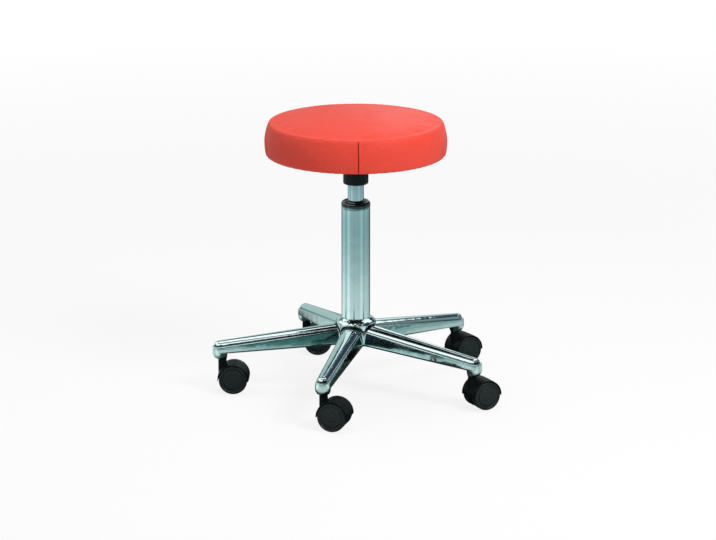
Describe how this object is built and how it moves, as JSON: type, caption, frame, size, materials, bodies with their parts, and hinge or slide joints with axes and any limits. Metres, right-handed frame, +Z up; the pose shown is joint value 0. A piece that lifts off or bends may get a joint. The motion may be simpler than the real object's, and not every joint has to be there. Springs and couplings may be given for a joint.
{
  "type": "medical stool",
  "caption": "Round backless swivel stool with a red upholstered pad, gas-spring column, chromed five-arm base and twin-wheel castors.",
  "frame": {"origin": "on the floor, on the axis of the column", "axes": "+Z up along the column; -Y is the side that the picture shows; +X to the right in the picture"},
  "size_m": [0.5033, 0.5055, 0.492],
  "materials": {
    "red_vinyl": "soft satin coral-red vinyl",
    "foam": "cut polyurethane foam",
    "plywood": "raw birch plywood",
    "dust_cloth": "non-woven black cloth",
    "black_steel": "black powder coat",
    "zinc_steel": "zinc plated",
    "base_chrome": "bright chrome plate",
    "tube_chrome": "bright chrome plate",
    "gas_chrome": "ground and chromed",
    "black_plastic": "moulded black nylon",
    "bush_plastic": "glossy black moulding",
    "wheel_plastic": "smooth black nylon",
    "buffer_rubber": "black rubber"
  },
  "bodies": {
    "base": {"base_hub": "base_chrome", "arm_1": "base_chrome", "arm_2": "base_chrome", "arm_3": "base_chrome", "arm_4": "base_chrome", "arm_5": "base_chrome", "castor_sockets": "base_chrome", "stand_tube": "tube_chrome", "guide_bush": "bush_plastic", "thrust_bearing": "zinc_steel", "bearing_lower_washer": "zinc_steel", "stem_rings": "zinc_steel", "castor_1_stem": "zinc_steel", "castor_2_stem": "zinc_steel", "castor_3_stem": "zinc_steel", "castor_4_stem": "zinc_steel", "castor_5_stem": "zinc_steel"},
    "rod": {"piston_rod": "gas_chrome", "piston": "zinc_steel", "bearing_upper_washer": "zinc_steel", "rubber_buffer": "buffer_rubber", "retaining_clip": "zinc_steel"},
    "seat": {"seat_cover_top": "red_vinyl", "seat_cover_band": "red_vinyl", "seat_welt": "red_vinyl", "seat_foam": "foam", "seat_board": "plywood", "seat_dust_cover": "dust_cloth", "seat_tee_nuts": "zinc_steel", "seat_plate": "black_steel", "plate_bolts": "zinc_steel", "taper_hub": "black_steel", "gas_cylinder": "gas_chrome", "rod_guide": "zinc_steel", "lever_pivot_pin": "zinc_steel"},
    "lever": {"release_lever": "zinc_steel", "lever_grip": "black_plastic"},
    "valve": {"valve_button": "zinc_steel"},
    "castor_1": {"castor_1_housing": "black_plastic", "castor_1_axle": "zinc_steel"},
    "castor_1_left": {"castor_1_wheel_left": "wheel_plastic"},
    "castor_1_right": {"castor_1_wheel_right": "wheel_plastic"},
    "castor_2": {"castor_2_housing": "black_plastic", "castor_2_axle": "zinc_steel"},
    "castor_2_left": {"castor_2_wheel_left": "wheel_plastic"},
    "castor_2_right": {"castor_2_wheel_right": "wheel_plastic"},
    "castor_3": {"castor_3_housing": "black_plastic", "castor_3_axle": "zinc_steel"},
    "castor_3_left": {"castor_3_wheel_left": "wheel_plastic"},
    "castor_3_right": {"castor_3_wheel_right": "wheel_plastic"},
    "castor_4": {"castor_4_housing": "black_plastic", "castor_4_axle": "zinc_steel"},
    "castor_4_left": {"castor_4_wheel_left": "wheel_plastic"},
    "castor_4_right": {"castor_4_wheel_right": "wheel_plastic"},
    "castor_5": {"castor_5_housing": "black_plastic", "castor_5_axle": "zinc_steel"},
    "castor_5_left": {"castor_5_wheel_left": "wheel_plastic"},
    "castor_5_right": {"castor_5_wheel_right": "wheel_plastic"}
  },
  "joints": [
    {"name": "seat_swivel", "type": "hinge", "parent": "base", "child": "rod", "pos_m": [0, 0, 0.1], "axis": [0, 0, 1], "continuous": true},
    {"name": "seat_lift", "type": "slide", "parent": "rod", "child": "seat", "axis": [0, 0, 1], "range_m": [-0.028, 0.102]},
    {"name": "lever_lift", "type": "hinge", "parent": "seat", "child": "lever", "pos_m": [0.00845, 0.01589, 0.4152], "axis": [0.8829, -0.4695, 0], "range_deg": [0, 7], "stiffness_Nm_per_rad": 1, "springref_deg": -11.46},
    {"name": "valve_press", "type": "slide", "parent": "seat", "child": "valve", "axis": [0, 0, -1], "range_m": [0, 0.0023]},
    {"name": "castor_1_swivel", "type": "hinge", "parent": "base", "child": "castor_1", "pos_m": [-0.23424, -0.01885, 0.05], "axis": [0, 0, 1], "continuous": true},
    {"name": "castor_1_left_roll", "type": "hinge", "parent": "castor_1", "child": "castor_1_left", "pos_m": [-0.21476, -0.01953, 0.025], "axis": [0.0349, 0.9994, 0], "continuous": true},
    {"name": "castor_1_right_roll", "type": "hinge", "parent": "castor_1", "child": "castor_1_right", "pos_m": [-0.21476, -0.01953, 0.025], "axis": [0.0349, 0.9994, 0], "continuous": true},
    {"name": "castor_2_swivel", "type": "hinge", "parent": "base", "child": "castor_2", "pos_m": [-0.05446, -0.2286, 0.05], "axis": [0, 0, 1], "continuous": true},
    {"name": "castor_2_left_roll", "type": "hinge", "parent": "castor_2", "child": "castor_2_left", "pos_m": [-0.03581, -0.2343, 0.025], "axis": [0.2924, 0.9563, 0], "continuous": true},
    {"name": "castor_2_right_roll", "type": "hinge", "parent": "castor_2", "child": "castor_2_right", "pos_m": [-0.03581, -0.2343, 0.025], "axis": [0.2924, 0.9563, 0], "continuous": true},
    {"name": "castor_3_swivel", "type": "hinge", "parent": "base", "child": "castor_3", "pos_m": [0.20058, -0.12244, 0.05], "axis": [0, 0, 1], "continuous": true},
    {"name": "castor_3_left_roll", "type": "hinge", "parent": "castor_3", "child": "castor_3_left", "pos_m": [0.2178, -0.11328, 0.025], "axis": [-0.4695, 0.8829, 0], "continuous": true},
    {"name": "castor_3_right_roll", "type": "hinge", "parent": "castor_3", "child": "castor_3_right", "pos_m": [0.2178, -0.11328, 0.025], "axis": [-0.4695, 0.8829, 0], "continuous": true},
    {"name": "castor_4_swivel", "type": "hinge", "parent": "base", "child": "castor_4", "pos_m": [0.17843, 0.15293, 0.05], "axis": [0, 0, 1], "continuous": true},
    {"name": "castor_4_left_roll", "type": "hinge", "parent": "castor_4", "child": "castor_4_left", "pos_m": [0.19497, 0.16326, 0.025], "axis": [-0.5299, 0.848, 0], "continuous": true},
    {"name": "castor_4_right_roll", "type": "hinge", "parent": "castor_4", "child": "castor_4_right", "pos_m": [0.19497, 0.16326, 0.025], "axis": [-0.5299, 0.848, 0], "continuous": true},
    {"name": "castor_5_swivel", "type": "hinge", "parent": "base", "child": "castor_5", "pos_m": [-0.09031, 0.21695, 0.05], "axis": [0, 0, 1], "continuous": true},
    {"name": "castor_5_left_roll", "type": "hinge", "parent": "castor_5", "child": "castor_5_left", "pos_m": [-0.07088, 0.21865, 0.025], "axis": [-0.0872, 0.9962, 0], "continuous": true},
    {"name": "castor_5_right_roll", "type": "hinge", "parent": "castor_5", "child": "castor_5_right", "pos_m": [-0.07088, 0.21865, 0.025], "axis": [-0.0872, 0.9962, 0], "continuous": true}
  ],
  "couplings": [
    {"joint": "valve_press", "follows": "lever_lift", "m_per_rad": 0.018}
  ]
}
